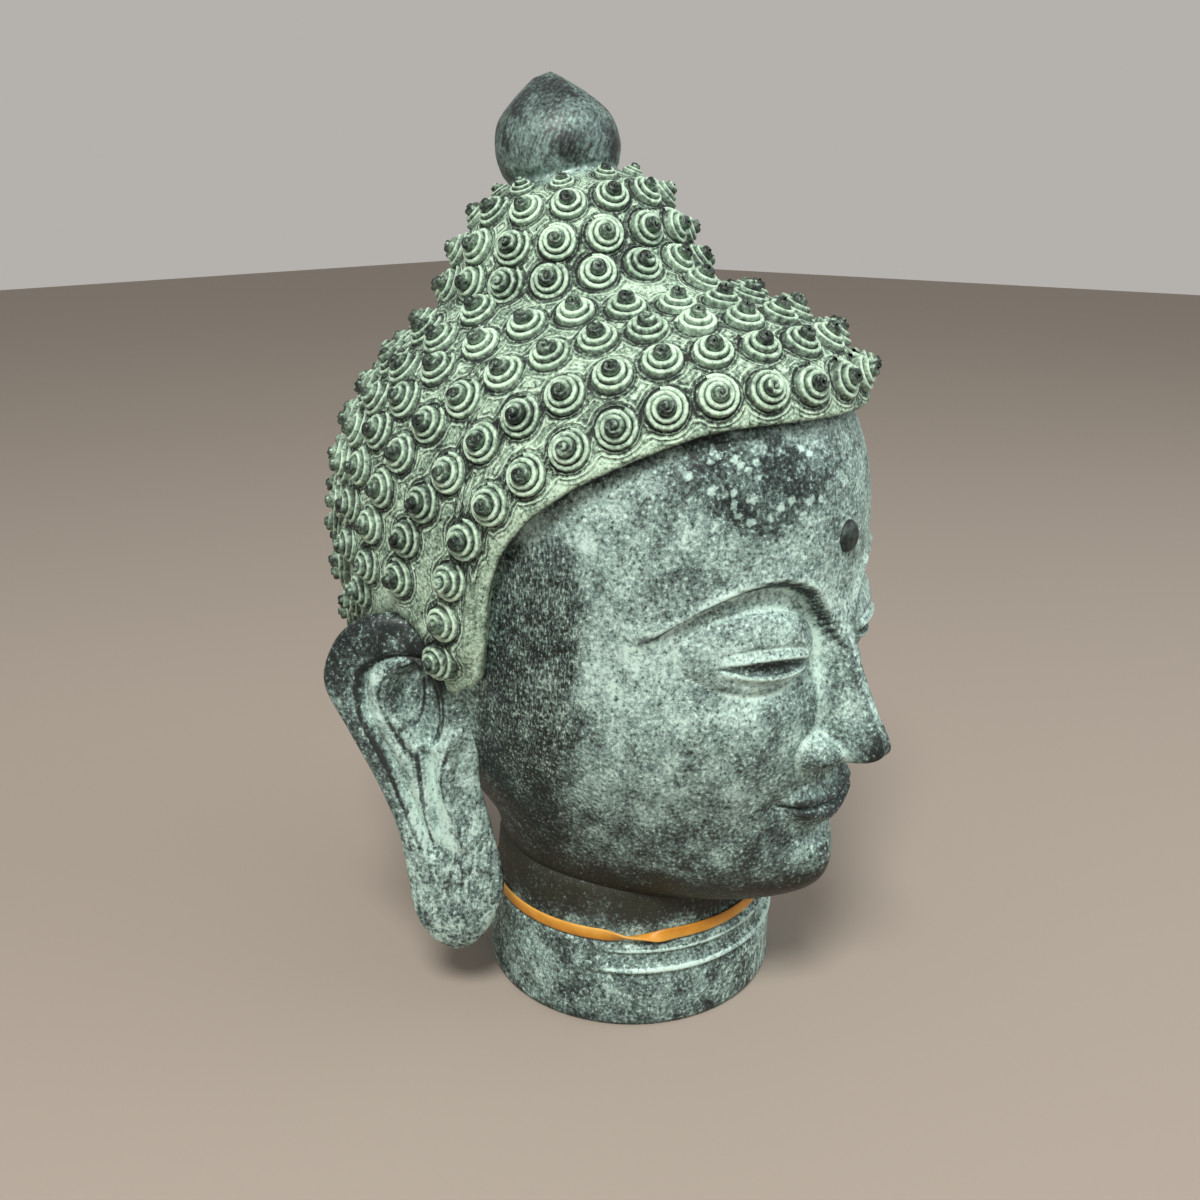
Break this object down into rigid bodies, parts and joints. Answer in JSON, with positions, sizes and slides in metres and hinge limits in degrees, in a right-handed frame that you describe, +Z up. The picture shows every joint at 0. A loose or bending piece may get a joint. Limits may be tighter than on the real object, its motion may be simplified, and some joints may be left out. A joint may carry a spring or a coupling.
{
  "type": "metal buddha head",
  "caption": "Cast bronze head with snail-shell curls, topknot with smooth jewel, long ears and a short round neck that is its foot; an elastic band lies round the neck.",
  "frame": {"origin": "centre of the flat underside of the neck", "axes": "+Z up, the face looks along -Y, +X to the figure's own left"},
  "size_m": [0.182, 0.21, 0.3],
  "materials": {
    "patinated_bronze": "cast bronze, dark metal under a pale green patina, rubbed dark on the crests",
    "elastic_band": "smooth translucent orange rubber"
  },
  "bodies": {
    "root": {"buddha_head": "patinated_bronze", "neck_band": "elastic_band"}
  },
  "joints": []
}
